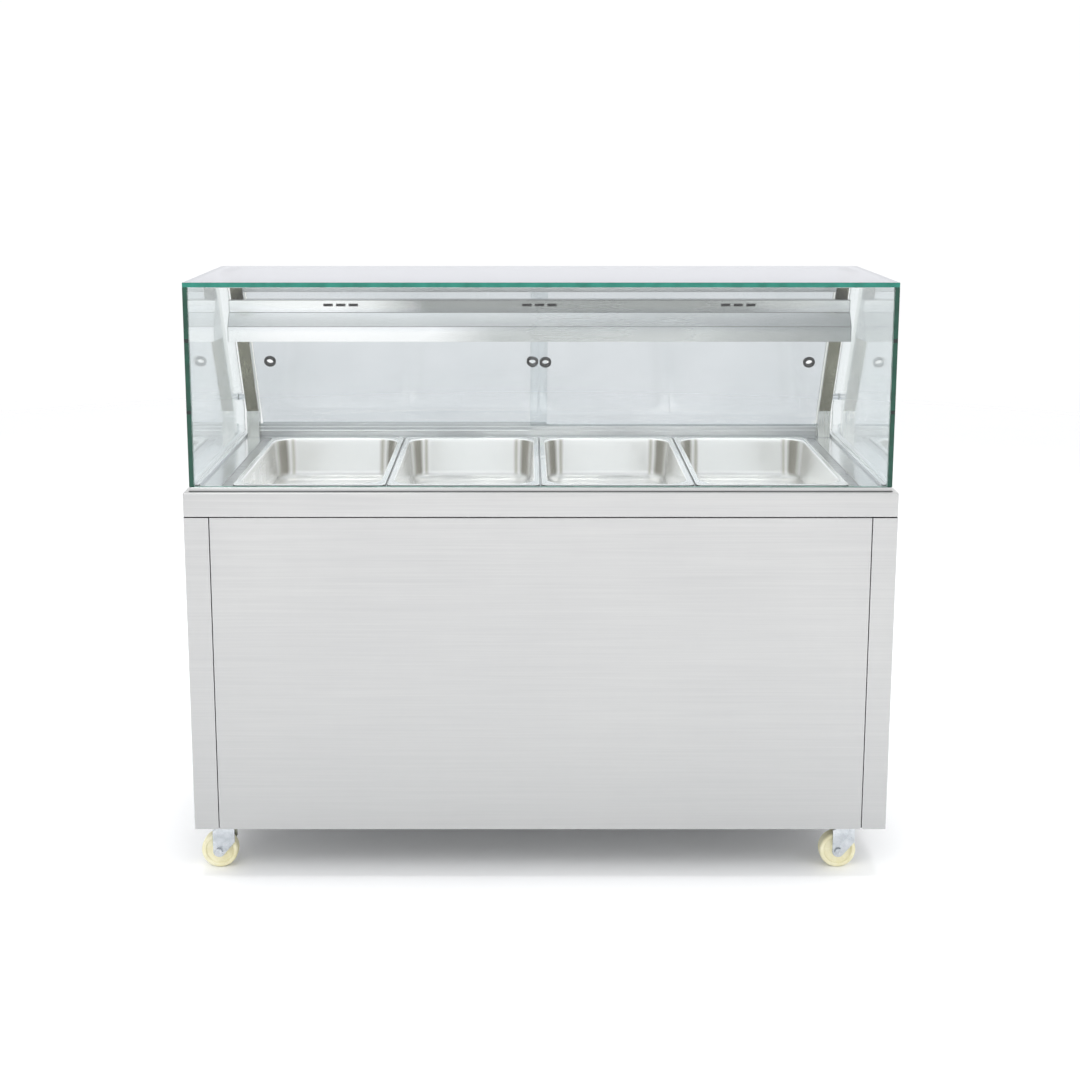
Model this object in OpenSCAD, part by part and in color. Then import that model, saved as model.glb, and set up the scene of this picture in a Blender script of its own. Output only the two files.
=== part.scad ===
// Hot food display case: a four-pan heated well under a glass box, on a steel cabinet with casters.
// X runs along the front, -Y is the customers' side, +Y the staff side, Z is up from the floor.
// The origin is on the floor under the middle of the case. All lengths are in millimetres.

/* [Cabinet] */
// Overall width
case_w = 1500; // [1490:5:1600]
// Overall depth, from the front panel to the rear edge of the work shelf
case_d = 750; // [745:5:820]
// Height of the cabinet body, without the raised lip of the countertop
body_h = 748; // [700:1:800]
// Height of the countertop's front band
band_h = 52; // [40:1:60]
// Width of the side panels' returns at the front corners
corner_w = 52; // [44:1:58]
// Height of the countertop's raised lip
lip_h = 10; // [6:1:14]
// Distance from the cabinet's faces to the lip
lip_inset = 12; // [10:1:14]
// Thickness of the sheet steel
sheet = 1.5; // [1.2:0.1:2]

/* [Pans and well] */
// Width of one food pan over its rim
pan_w = 325; // [325:1:325]
// Length of one food pan over its rim
pan_l = 530; // [530:1:530]
// Depth of one food pan
pan_depth = 100; // [65:5:125]
// Gap between neighbouring pans
pan_gap = 1; // [0.5:0.5:2]
// Depth of the well tank below the pans' ledge
tank_depth = 150; // [135:5:170]

/* [Glass box] */
// Thickness of the fixed glass
glass_t = 10; // [8:1:12]
// Height of the front and side glass
glass_h = 420; // [410:5:440]
// Depth of the top glass
top_glass_d = 420; // [415:5:430]

/* [Rear frame and sliding doors] */
// Side of the posts' square tube
post_t = 30; // [28:1:32]
// Height of the posts' upright feet
foot_h = 66; // [60:1:72]
// Lean of the posts and doors from upright, in degrees
lean = 28; // [26:0.5:29]
// Thickness of the sliding door glass
door_glass_t = 5; // [4:1:6]
// Height of the finger rings above the foot's bend, along the door
ring_s = 141; // [120:1:160]

/* [Lamp canopy] */
// Length of one lamp tube
lamp_l = 350; // [300:10:380]
// Distance between neighbouring lamps
lamp_pitch = 456; // [450:1:456]

/* [Casters] */
// Height of the casters, from the floor to the cabinet
caster_h = 112; // [112:1:120]
// Diameter of the wheels
wheel_d = 80; // [75:1:80]
// Width of the wheels
wheel_w = 30; // [26:1:32]
// Distance from the swivel axis to the axle
trail = 25; // [20:1:26]

/* [Hidden] */

$fn = 48;
eps = 0.01;
run_gap = 0.05;                        // radial clearance of a running fit

// Cabinet levels and faces
hw = case_w / 2;
hd = case_d / 2;
base_z = caster_h;
band_z = caster_h + body_h - band_h;
shoulder_z = caster_h + body_h;
deck_z = shoulder_z + lip_h;
body_rear_y = hd - 30;                 // rear face of the cabinet, under the overhanging work shelf
seam = 2;                              // open seams around the front panel and under the band
hem = 15;                              // depth of the folded edges
rear_return = 50;                      // width of the side panels' rear returns
shelf_z = 398;

// Rear fascia, controls and cabinet doors
fascia_z0 = 700;
fascia_z1 = band_z - 1.5;
control_z = (fascia_z0 + fascia_z1) / 2;
box_x = [390, 690];
box_y = hd - 117;                      // front wall of the control box
knob_x = 445;
lamp_x = 495;
heat_x = 530;
light_x = 575;
gland_x = 650;
switch_hole = [15, 27];                // opening in the fascia for one switch, width by height
switch_wall = 1;
rocker_pin_r = 1.5;
rocker_tilt = 8;                       // lean of a rocker either side of its middle, in degrees
pivot_x = hw - 62;                     // hinge axis of the cabinet doors
pivot_y = body_rear_y - 10;
pivot_r = 4;
door_z0 = base_z + 9;
door_z1 = fascia_z0 - 6;
door_t = 20;
door_outer_x = hw - 53;
bar_r = 5;
bar_y = body_rear_y + 22;
bar_span = 128;                        // distance between a handle's two feet
bar_x = 45;
bar_z = 430;

// Countertop opening, well and pans
pan_pitch = pan_w + pan_gap;
glass_y = -hd + lip_inset;             // front face of the front glass
pan_front = glass_y + glass_t + 2.5;   // front edge of the pans' rims
pan_mid_y = pan_front + pan_l / 2;
cut_half_x = 2 * pan_pitch + 20;
cut_y0 = pan_front - 1.5;
cut_y1 = pan_front + pan_l + 2.5;
well_half_x = 2 * pan_pitch - 7;
well_y0 = pan_front + 5;
well_y1 = pan_front + pan_l - 7;
ledge_z = deck_z - sheet;
tank_z = ledge_z - tank_depth;
rim_w = 12;
rim_h = 4;
pan_t = 1;
pan_corner = 50;                       // inner corner radius under the rim
pan_draft = 4;                         // how far the walls draw in towards the bottom
pan_fillet = 22;
drain = [-560, pan_front + pan_l - 60];
drain_r = 12;
valve_z = 625;
element_r = 4.25;
element_z = tank_z + 16;
element_bend = 50;
terminal_x = [530, 590];               // where the element's ends leave the tank

// Posts and door plane
foot_y = pan_front + pan_l + 4.5;      // front face of the posts' feet
post_x0 = hw - 67;
post_x1 = post_x0 + post_t;
arm_len = 90;
arm_h = 12;
rear_bend = (post_t / cos(lean) - post_t) / tan(lean);
standoff_z = 103;
standoff_y = foot_y - 5;
inner_n = 10;                          // depth of the right door's glass behind the posts' front face
outer_n = 24;                          // depth of the left door's glass
groove_w = 10;
track_n = [2, 32];
track_s0 = -62;                        // top of the lower track, measured along the door plane
door_s0 = -75;
door_s1 = 362;
top_track_s = 346;
top_groove_s = 380;
shoe_w = 9;
shoe_h = 22;
shoe_floor = 4;
door_half_lap = 20.5;
door_end_x = post_x0 - 2;
ring_edge = 36;                        // from a door's upright edge to the ring's middle
ring_hole_r = 8;
ring_r = 14;
ring_hub_r = 10.9;
ring_flange = 2.5;

// Canopy section, as offsets from the posts' front plane and heights above the deck
canopy_top = 357;
canopy_bend = 328;
canopy_lip = 298;
canopy_low = 263;
canopy_y = glass_y + 365;
canopy_nose_y = canopy_y - 23;
slot_w = 19;
slot_h = 4;
slot_pitch = 29;
slot_z = 345;
lamp_y = canopy_y + 20;
lamp_z = 292;
lamp_r = 5;
reflector_z = 320;

// Casters
swivel_x = hw - 67;
front_swivel_y = -hd + 62;
rear_swivel_y = hd - 85;
wheel_r = wheel_d / 2;
axle_r = 5;
kingpin_r = 6;
fork_top = caster_h - 14;
fork_t = 3;
fork_gap = wheel_w / 2 + 2;
leg_r = 13;                            // of a fork leg, about the axle
leg_w = 48;
pedal_w = 24;
pedal_y = 16;                          // brake pivot, towards the wheel from the swivel axis
pedal_z = 86;
pedal_r = 3;
pedal_tilt = 10;                       // rise of the released pedal, in degrees

// Colours
steel = [0.80, 0.81, 0.81];
bright = [0.88, 0.89, 0.90];
dark = [0.20, 0.20, 0.21];
clear = [0.75, 0.88, 0.85, 0.35];
cream = [0.90, 0.86, 0.70];
zinc = [0.70, 0.71, 0.72];

// ---------- helpers ----------

// Box between pairs of coordinates
module slab(x, y, z)
  translate([x[0], y[0], z[0]]) cube([x[1] - x[0], y[1] - y[0], z[1] - z[0]]);

// Section drawn in Y and Z, run along X and centred on the middle plane
module along_x(w) rotate([90, 0, 90]) linear_extrude(w, center = true) children();

// The same piece on the left side
module left_hand() mirror([1, 0, 0]) children();

module both_sides() {
  children();
  left_hand() children();
}

module on_deck() translate([0, 0, deck_z]) children();

// Rounded rectangle with true arcs
module rounded(w, l, r) {
  square([w - 2 * r, l], center = true);
  square([w, l - 2 * r], center = true);
  for (x = [-1, 1], y = [-1, 1]) translate([x * (w / 2 - r), y * (l / 2 - r)]) circle(r);
}

// Folded sheet: a path thickened to its right-hand side, with mitred bends
function side_of(a, b) = let (u = (b - a) / norm(b - a)) [u.y, -u.x];
function mitred(p, i, t) =
  let (last = len(p) - 1,
       n1 = side_of(p[max(i - 1, 0)], p[max(i, 1)]),
       n2 = side_of(p[min(i, last - 1)], p[min(i + 1, last)]))
  p[i] + t * (n1 + n2) / (1 + n1 * n2);
module folded(p, t)
  polygon(concat(p, [for (i = [len(p) - 1:-1:0]) mitred(p, i, t)]));

// Front face of the inclined posts at a height above the deck
function post_y(z) = foot_y - (z - foot_h) * tan(lean);

// Section frame of the door plane: first axis through the doors, second axis up along them
module door_plane() translate([foot_y, foot_h]) rotate(lean) children();

// Same frame in space, with X along the doors, Y through them and Z up along them
module in_door_plane() on_deck() translate([0, foot_y, foot_h]) rotate([lean, 0, 0]) children();

// ---------- cabinet ----------

module base_panel() color(steel)
  slab([-hw + sheet, hw - sheet], [-hd + sheet, body_rear_y - sheet],
       [base_z + sheet, base_z + 2 * sheet]);

module side_panel() color(steel) {
  walls_z = [base_z, band_z];
  front_z = [base_z, band_z - seam];
  slab([hw - sheet, hw], [-hd, body_rear_y], walls_z);
  slab([hw - corner_w, hw], [-hd, -hd + sheet], front_z);
  slab([hw - rear_return, hw], [body_rear_y - sheet, body_rear_y], walls_z);
  slab([hw - corner_w, hw - corner_w + sheet], [-hd, -hd + hem], [base_z + 2 * sheet, band_z - seam]);
  slab([hw - 30, hw], [-hd, body_rear_y], [base_z, base_z + sheet]);
}

module right_side_panel() side_panel();
module left_side_panel() left_hand() side_panel();

module front_panel() color(steel) {
  half = hw - corner_w - seam;
  top = band_z - seam;
  slab([-half, half], [-hd, -hd + sheet], [base_z, top]);
  slab([-half, half], [-hd, -hd + hem], [top - sheet, top]);
  both_sides() slab([half - sheet, half], [-hd, -hd + hem], [base_z + 2 * sheet, top]);
}

module countertop() color(steel) {
  inner = lip_inset + sheet;
  difference() {
    union() {
      slab([-hw, hw], [-hd, hd], [band_z, shoulder_z]);
      slab([-hw + lip_inset, hw - lip_inset], [-hd + lip_inset, hd - lip_inset], [band_z, deck_z]);
    }
    slab([-hw + sheet, hw - sheet], [-hd + sheet, hd - sheet], [band_z - 1, shoulder_z - sheet]);
    slab([-hw + inner, hw - inner], [-hd + inner, hd - inner], [band_z - 1, deck_z - sheet]);
    slab([-cut_half_x, cut_half_x], [cut_y0, cut_y1], [band_z, deck_z + 1]);
  }
  slab([-hw + sheet, hw - sheet], [body_rear_y, hd - sheet], [band_z, band_z + sheet]);
}

module storage_shelf() color(steel)
  along_x(2 * (hw - sheet))
    folded([[-hd + hem + 6, shelf_z - 24], [-hd + hem + 6, shelf_z],
            [body_rear_y - 45, shelf_z], [body_rear_y - 45, shelf_z - 24]], sheet);

// ---------- controls ----------

module fascia_sheet() {
  half = hw - rear_return - seam;
  slab([-half, half], [body_rear_y - sheet, body_rear_y], [fascia_z0, fascia_z1]);
  slab([-half, half], [body_rear_y - 20, body_rear_y], [fascia_z0, fascia_z0 + sheet]);
  both_sides() slab([half - 5, hw - sheet], [body_rear_y - 2 * sheet, body_rear_y - sheet],
                    [fascia_z0, fascia_z1]);
}

// Drills from the rear, at a place on the fascia
module at_fascia(x) translate([x, body_rear_y, control_z]) rotate([-90, 0, 0]) children();

module control_fascia() color(steel)
  difference() {
    fascia_sheet();
    at_fascia(knob_x) cylinder(r = 5, h = 10, center = true);
    at_fascia(lamp_x) cylinder(r = 5, h = 10, center = true);
    at_fascia(gland_x) cylinder(r = 10, h = 10, center = true);
    for (x = [heat_x, light_x]) at_fascia(x) cube([switch_hole.x, switch_hole.y, 10], center = true);
  }

module control_box() color(zinc) {
  z = [fascia_z0 + 4, fascia_z1 - 6];
  difference() {
    slab(box_x, [box_y, body_rear_y - sheet], z);
    slab([box_x[0] + sheet, box_x[1] - sheet], [box_y + sheet, body_rear_y],
         [z[0] + sheet, z[1] - sheet]);
    for (x = terminal_x) translate([x, box_y, element_z]) rotate([90, 0, 0])
      cylinder(r = element_r + 0.3, h = 10, center = true);
  }
}

module thermostat_body() color("dimgray")
  difference() {
    union() {
      slab([knob_x - 18, knob_x + 18], [body_rear_y - 50, body_rear_y - 14],
           [control_z - 18, control_z + 18]);
      at_fascia(knob_x) translate([0, 0, -14]) cylinder(r = 7, h = 14 - sheet);
    }
    at_fascia(knob_x) translate([0, 0, -30]) cylinder(r = 3 + run_gap, h = 40);
  }

module thermostat_knob() color(dark)
  at_fascia(knob_x) {
    translate([0, 0, -28]) cylinder(r = 3, h = 30);
    difference() {
      rotate_extrude($fn = 96)
        polygon([[0, 1], [23, 1], [23, 4], [18, 6], [16.5, 20], [15, 22], [0, 22]]);
      for (a = [0:30:330]) rotate(a) translate([19.5, 0, 7]) cylinder(r = 3.2, h = 20, $fn = 24);
    }
    translate([-1.5, -21, 4]) cube([3, 19, 2.5]);
  }

// Pivot of a rocker, sunk a little into the fascia
module at_rocker(x) translate([x, body_rear_y - 3, control_z]) children();

module switch_housing(x)
  difference() {
    union() {
      at_fascia(x) translate([0, 0, 1]) cube([19, 31, 2], center = true);
      at_fascia(x) translate([0, 0, -10]) cube([switch_hole.x, switch_hole.y, 20 + eps], center = true);
    }
    at_fascia(x) translate([0, 0, -4])
      cube([switch_hole.x - 2 * switch_wall, switch_hole.y - 2 * switch_wall, 24], center = true);
    at_rocker(x) rotate([0, 90, 0]) cylinder(r = rocker_pin_r + run_gap, h = switch_hole.x, center = true);
  }

module switch_housings() color(dark) {
  switch_housing(heat_x);
  switch_housing(light_x);
}

module rocker(x)
  at_rocker(x) rotate([rocker_tilt, 0, 0]) {
    along_x(switch_hole.x - 3) polygon([[-6, -9], [-6, 9], [6, 10.5], [3, 0], [6, -10.5]]);
    rotate([0, 90, 0]) cylinder(r = rocker_pin_r, h = switch_hole.x - 0.8, center = true);
  }

module heat_rocker() color("firebrick") rocker(heat_x);
module light_rocker() color("seagreen") rocker(light_x);

module indicator_lamp() color("orange")
  at_fascia(lamp_x) {
    translate([0, 0, -16]) cylinder(r = 4.9, h = 16 + eps);
    rotate_extrude() polygon([[0, 0], [7.5, 0], [7.5, 1.5], [5.5, 2], [5, 5.5], [3, 7], [0, 7.4]]);
  }

module cable_gland() color(dark)
  at_fascia(gland_x)
    difference() {
      union() {
        cylinder(r = 14, h = 7, $fn = 6);
        rotate_extrude() polygon([[0, 7], [12.5, 7], [12.5, 12], [11, 20], [8.5, 26], [0, 26]]);
        translate([0, 0, -20]) cylinder(r = 9.9, h = 20 + eps);
        translate([0, 0, -sheet - 6]) cylinder(r = 14, h = 6, $fn = 6);
      }
      translate([0, 0, -30]) cylinder(r = 6, h = 70);
    }

// ---------- well ----------

module well_tank() color(bright) {
  size = [2 * well_half_x, well_y1 - well_y0];
  middle = [0, (well_y0 + well_y1) / 2];
  difference() {
    union() {
      translate([middle.x, middle.y, tank_z])
        linear_extrude(ledge_z - tank_z) rounded(size.x + 2 * sheet, size.y + 2 * sheet, 20 + sheet);
      slab([-cut_half_x - 15, cut_half_x + 15], [cut_y0 - 5, cut_y1 + 14], [ledge_z - sheet, ledge_z]);
    }
    translate([middle.x, middle.y, tank_z + sheet])
      linear_extrude(tank_depth) rounded(size.x, size.y, 20);
    translate([drain.x, drain.y, tank_z - 1]) cylinder(r = drain_r, h = 5);
    for (x = terminal_x) translate([x, well_y1, element_z])
      rotate([90, 0, 0]) cylinder(r = element_r + 0.1, h = 20, center = true);
  }
}

module pan_support_bars() color(bright)
  for (x = [-pan_pitch, 0, pan_pitch]) translate([x, 0, 0])
    difference() {
      slab([-10, 10], [well_y0, well_y1], [ledge_z - 15, ledge_z]);
      slab([-10 + sheet, 10 - sheet], [well_y0 - 1, well_y1 + 1], [ledge_z - 16, ledge_z - sheet]);
    }

module rod_x(x, y) translate([x[0], y, 0]) rotate([0, 90, 0]) cylinder(r = element_r, h = x[1] - x[0]);
module rod_y(x, y) translate([x, y[0], 0]) rotate([-90, 0, 0]) cylinder(r = element_r, h = y[1] - y[0]);
module bend(x, y, from, sweep) translate([x, y, 0]) rotate(from)
  rotate_extrude(angle = sweep) translate([element_bend, 0]) circle(element_r);

// One tube in four long runs, with both ends leaving through the rear wall of the tank
module heating_element() color("darkgray")
  translate([0, 0, element_z]) {
    r = element_bend;
    y = [for (i = [0:3]) well_y0 + 60 + 2 * r * i];
    left = -580 + r;
    right = 420;
    ends = [terminal_x[1] - r, right, right, terminal_x[0] - r];
    for (i = [0:3]) rod_x([left, ends[i]], y[i]);
    for (i = [0, 2]) bend(left, y[i] + r, 90, 180);
    bend(right, y[1] + r, -90, 180);
    for (i = [0, 1]) {
      bend(terminal_x[1 - i] - r, y[3 * i] + r, -90, 90);
      rod_y(terminal_x[1 - i], [y[3 * i] + r, box_y + 12]);
    }
  }

module drain_valve() color("darkgoldenrod")
  translate([drain.x, drain.y, 0])
    difference() {
      union() {
        translate([0, 0, tank_z + sheet]) cylinder(r = 20, h = 2);
        translate([0, 0, valve_z]) cylinder(r = drain_r - 0.1, h = tank_z + sheet + eps - valve_z);
        translate([0, 0, tank_z - 8]) cylinder(r = 20, h = 8, $fn = 6);
        translate([0, 0, valve_z - 28]) cylinder(r = 19, h = 56, $fn = 6);
        translate([0, 0, valve_z]) rotate([-90, 0, 0]) cylinder(r = 9, h = 26);
        translate([0, 0, valve_z]) rotate([-90, 0, 0]) cylinder(r = 4, h = 36);
        translate([0, 31.5, valve_z]) rotate([-90, 0, 0]) cylinder(r = 7, h = 4.5, $fn = 6);
        translate([0, 0, valve_z - 68]) cylinder(r = 10, h = 42);
      }
      translate([0, 0, valve_z - 70]) cylinder(r = 7, h = tank_z - valve_z + 90);
    }

module drain_lever() color("red")
  translate([drain.x, drain.y + 27, valve_z]) rotate([-90, 0, 0])
    difference() {
      union() {
        cylinder(r = 11, h = 4);
        translate([0, -8, 0]) cube([95, 16, 4]);
        translate([95, 0, 0]) cylinder(r = 8, h = 4);
      }
      translate([0, 0, -1]) cylinder(r = 4 + run_gap, h = 6);
    }

// ---------- pans ----------

// Upright section of a pan's wall: straight draw, then the fillet into the bottom
function fillet_arc(c, r) = [for (a = [0:-10:-90]) c + r * [cos(a), sin(a)]];
module pan_wall_section() {
  foot = pan_corner - pan_draft;
  c = [foot - pan_fillet, -(pan_depth - pan_t - pan_fillet)];
  inner = concat([[pan_corner, 0]], fillet_arc(c, pan_fillet));
  outer = concat([[pan_corner + pan_t, 0]], fillet_arc(c, pan_fillet + pan_t));
  polygon(concat(outer, [for (i = [len(inner) - 1:-1:0]) inner[i]]));
}

module pan() {
  inner = [pan_w - 2 * rim_w, pan_l - 2 * rim_w];
  half = [inner.x / 2 - pan_corner, inner.y / 2 - pan_corner];
  flat_r = pan_corner - pan_draft - pan_fillet;
  translate([0, 0, -pan_t]) linear_extrude(pan_t) difference() {
    rounded(pan_w, pan_l, 14);
    rounded(inner.x, inner.y, pan_corner);
  }
  translate([0, 0, -rim_h]) linear_extrude(rim_h - pan_t + eps) difference() {
    rounded(pan_w, pan_l, 14);
    rounded(pan_w - 2 * pan_t, pan_l - 2 * pan_t, 14 - pan_t);
  }
  for (a = [0, 180]) rotate(a) {
    translate([half.x, half.y, 0]) rotate_extrude(angle = 90) pan_wall_section();
    translate([-half.x, half.y, 0]) rotate(90) rotate_extrude(angle = 90) pan_wall_section();
    translate([half.x, 0, 0]) rotate([90, 0, 0])
      linear_extrude(2 * half.y, center = true) pan_wall_section();
    translate([0, half.y, 0]) rotate([90, 0, 90])
      linear_extrude(2 * half.x, center = true) pan_wall_section();
  }
  translate([0, 0, -pan_depth]) linear_extrude(pan_t)
    rounded(2 * (half.x + flat_r), 2 * (half.y + flat_r), flat_r);
}

module pan_at(i) color(bright)
  translate([(i - 2.5) * pan_pitch, pan_mid_y, ledge_z + rim_h]) pan();

module pan_1() pan_at(1);
module pan_2() pan_at(2);
module pan_3() pan_at(3);
module pan_4() pan_at(4);

// ---------- glass box ----------

// Section of a post grown inwards by a wall thickness; open at the foot
module post_section(wall) {
  front = foot_y + wall;
  slant = wall / cos(lean);
  top = glass_h - 2 * wall;
  bottom = wall > 0 ? -1 : 0;
  rise = rear_bend * (post_t - 2 * wall) / post_t;
  bend_z = foot_h + wall * tan(lean / 2);
  polygon([[front, bottom], [foot_y + post_t - wall, bottom],
           [foot_y + post_t - wall, bend_z + rise],
           [post_y(top) + post_t / cos(lean) - slant, top], [post_y(top) + slant, top],
           [front, bend_z]]);
}

module post() color(steel) {
  wall = 2;
  middle = (post_x0 + post_x1) / 2;
  on_deck() {
    translate([middle, 0, 0]) difference() {
      along_x(post_t) post_section(0);
      along_x(post_t - 2 * wall) post_section(wall);
    }
    slab([post_x0, post_x1], [post_y(glass_h) - arm_len, post_y(glass_h) + 4],
         [glass_h - arm_h, glass_h]);
  }
}

module right_post() post();
module left_post() left_hand() post();

module front_glass() color(clear)
  on_deck() slab([-hw + lip_inset + glass_t, hw - lip_inset - glass_t],
                 [glass_y, glass_y + glass_t], [0, glass_h]);

module side_glass() color(clear)
  on_deck() difference() {
    translate([hw - lip_inset - glass_t / 2, 0, 0]) along_x(glass_t)
      polygon([[glass_y, 0], [foot_y + 62, 0], [foot_y + 62, foot_h],
               [glass_y + top_glass_d, glass_h], [glass_y, glass_h]]);
    translate([hw, standoff_y, standoff_z]) rotate([0, 90, 0]) cylinder(r = 4, h = 60, center = true);
  }

module right_side_glass() side_glass();
module left_side_glass() left_hand() side_glass();

module top_glass() color(clear)
  on_deck() slab([-hw + lip_inset, hw - lip_inset], [glass_y, glass_y + top_glass_d],
                 [glass_h, glass_h + glass_t]);

module glazing_beads() color(steel)
  on_deck() both_sides() difference() {
    slab([hw - lip_inset - glass_t - 12, hw - lip_inset - glass_t], [glass_y + glass_t, foot_y + 58],
         [0, 6]);
    slab([hw - lip_inset - glass_t - 10, hw - lip_inset - glass_t - 2],
         [glass_y + glass_t - 1, foot_y + 59], [4, 7]);
  }

module glass_standoffs() color(bright)
  on_deck() both_sides() translate([0, standoff_y, standoff_z]) rotate([0, 90, 0]) {
    translate([0, 0, post_x1]) cylinder(r = 8, h = hw - lip_inset - glass_t - post_x1);
    translate([0, 0, post_x1]) cylinder(r = 3.9, h = hw - lip_inset - post_x1 + 1);
    translate([0, 0, hw - lip_inset]) cylinder(r = 9, h = 4);
  }

// ---------- lamp canopy ----------

function canopy_outline() = [
  [canopy_nose_y, canopy_low], [canopy_nose_y, canopy_lip], [canopy_y, canopy_bend],
  [canopy_y, canopy_top], [post_y(canopy_top), canopy_top], [post_y(canopy_low), canopy_low]];

module lamp_canopy() color(steel)
  on_deck() difference() {
    union() {
      along_x(2 * post_x1)
        folded(concat([[canopy_nose_y + 12, canopy_low]], canopy_outline()), sheet);
      both_sides() translate([post_x1 - sheet / 2, 0, 0]) along_x(sheet) polygon(canopy_outline());
    }
    for (g = [-1:1], i = [-1:1])
      translate([g * lamp_pitch + i * slot_pitch, canopy_y, slot_z])
        cube([slot_w, 6, slot_h], center = true);
  }

module lamp_reflector() color(bright)
  on_deck() along_x(2 * (post_x1 - sheet))
    folded([[canopy_y - 17, reflector_z - 30], [canopy_y, reflector_z],
            [canopy_y + 34, reflector_z], [canopy_y + 52, reflector_z - 30]], 1);

module lamp_holders() color("ivory")
  on_deck() for (g = [-1:1], e = [-1, 1])
    translate([g * lamp_pitch + e * (lamp_l / 2 + 6), lamp_y, 0])
      slab([-6, 6], [-9, 9], [lamp_z - 9, reflector_z - 1]);

module lamp_tubes() color("white")
  on_deck() for (g = [-1:1]) translate([g * lamp_pitch, lamp_y, lamp_z]) rotate([0, 90, 0])
    cylinder(r = lamp_r, h = lamp_l, center = true);

// ---------- sliding doors ----------

module grooves(s0, s1)
  for (n = [inner_n, outer_n]) translate([n - groove_w / 2, s0]) square([groove_w, s1 - s0]);

module lower_door_track() color(zinc)
  on_deck() along_x(2 * post_x1) intersection() {
    door_plane() difference() {
      translate([track_n[0], -120]) square([track_n[1] - track_n[0], 120 + track_s0]);
      grooves(door_s0 - 0.3, 0);
    }
    translate([0, 0]) square([hd, 60]);
  }

module upper_door_track() color(zinc)
  on_deck() along_x(2 * post_x0) intersection() {
    door_plane() difference() {
      translate([track_n[0], top_track_s]) square([track_n[1] - track_n[0], 80]);
      grooves(top_track_s - 1, top_groove_s);
    }
    translate([-100, 0]) square([hd, glass_h]);
  }

// Place of the finger rings along a door at depth n; the rings of both doors are at one height
function ring_along(n) = ring_s - (n - inner_n) * tan(lean);

// One sliding door, drawn between its two upright edges, with its glass at depth n
module sliding_glass(x, n) color(clear)
  in_door_plane() difference() {
    slab(x, [n - door_glass_t / 2, n + door_glass_t / 2], [door_s0 + shoe_floor, door_s1]);
    for (c = [x[0] + ring_edge, x[1] - ring_edge])
      translate([c, n, ring_along(n)]) rotate([90, 0, 0])
        cylinder(r = ring_hub_r + 0.1, h = 20, center = true);
  }

module door_shoe(x, n) color(zinc)
  in_door_plane() difference() {
    slab(x, [n - shoe_w / 2, n + shoe_w / 2], [door_s0, door_s0 + shoe_h]);
    slab([x[0] - 1, x[1] + 1], [n - door_glass_t / 2, n + door_glass_t / 2],
         [door_s0 + shoe_floor, door_s0 + shoe_h + 1]);
  }

module finger_rings(x, n) color(dark)
  in_door_plane() for (c = [x[0] + ring_edge, x[1] - ring_edge])
    translate([c, n, ring_along(n)]) rotate([90, 0, 0]) rotate_extrude() {
      out = door_glass_t / 2 + ring_flange;
      polygon([[ring_hole_r, -out + 1], [ring_hole_r + 1, -out], [ring_r - 1, -out], [ring_r, -out + 1],
               [ring_r, -door_glass_t / 2], [ring_hub_r, -door_glass_t / 2],
               [ring_hub_r, door_glass_t / 2], [ring_r, door_glass_t / 2],
               [ring_r, out - 1], [ring_r - 1, out], [ring_hole_r + 1, out], [ring_hole_r, out - 1]]);
    }

left_span = [-door_end_x, door_half_lap];
right_span = [-door_half_lap, door_end_x];
module left_sliding_glass() sliding_glass(left_span, outer_n);
module right_sliding_glass() sliding_glass(right_span, inner_n);
module left_door_shoe() door_shoe(left_span, outer_n);
module right_door_shoe() door_shoe(right_span, inner_n);
module left_finger_rings() finger_rings(left_span, outer_n);
module right_finger_rings() finger_rings(right_span, inner_n);

// ---------- rear cabinet doors ----------

module cabinet_door() color(steel) {
  x = [2, door_outer_x];
  y = [body_rear_y - door_t, body_rear_y];
  lip = 14;
  difference() {
    slab(x, y, [door_z0, door_z1]);
    slab([x[0] + sheet, x[1] - sheet], [y[0] + sheet, y[1] - sheet],
         [door_z0 + sheet, door_z1 - sheet]);
    slab([x[0] + lip, x[1] - lip], [y[0] - 1, y[0] + 5], [door_z0 + lip, door_z1 - lip]);
  }
  translate([pivot_x, pivot_y, door_z0 - 5.5]) cylinder(r = pivot_r, h = 5.5 + sheet);
  translate([pivot_x, pivot_y, door_z1 - sheet]) cylinder(r = pivot_r, h = 5.5 + sheet);
}

module right_cabinet_door() cabinet_door();
module left_cabinet_door() left_hand() cabinet_door();

module door_handle() color(bright) {
  for (e = [-1, 1]) translate([bar_x, body_rear_y, bar_z + e * bar_span / 2]) rotate([-90, 0, 0])
    cylinder(r = 4, h = bar_y - body_rear_y);
  translate([bar_x, bar_y, bar_z - bar_span / 2 - 12]) cylinder(r = bar_r, h = bar_span + 24);
}

module right_door_handle() door_handle();
module left_door_handle() left_hand() door_handle();

module hinge_brackets() color(zinc)
  both_sides() for (z = [base_z + 2 * sheet, fascia_z0 - 4])
    difference() {
      slab([pivot_x - 14, hw - rear_return - 1], [pivot_y - 11, body_rear_y - sheet], [z, z + 4]);
      translate([pivot_x, pivot_y, z - 1]) cylinder(r = pivot_r + run_gap, h = 6);
    }

// ---------- casters ----------

// Children are drawn for a caster whose wheel trails towards -X, with the swivel axis on Z
module front_caster(side) translate([side * swivel_x, front_swivel_y, 0]) children();
module rear_caster(side) translate([side * swivel_x, rear_swivel_y, 0]) rotate(-90) children();

module at_plate_bolts() for (x = [-38, 38], y = [-28, 28]) translate([x, y, 0]) children();

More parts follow.
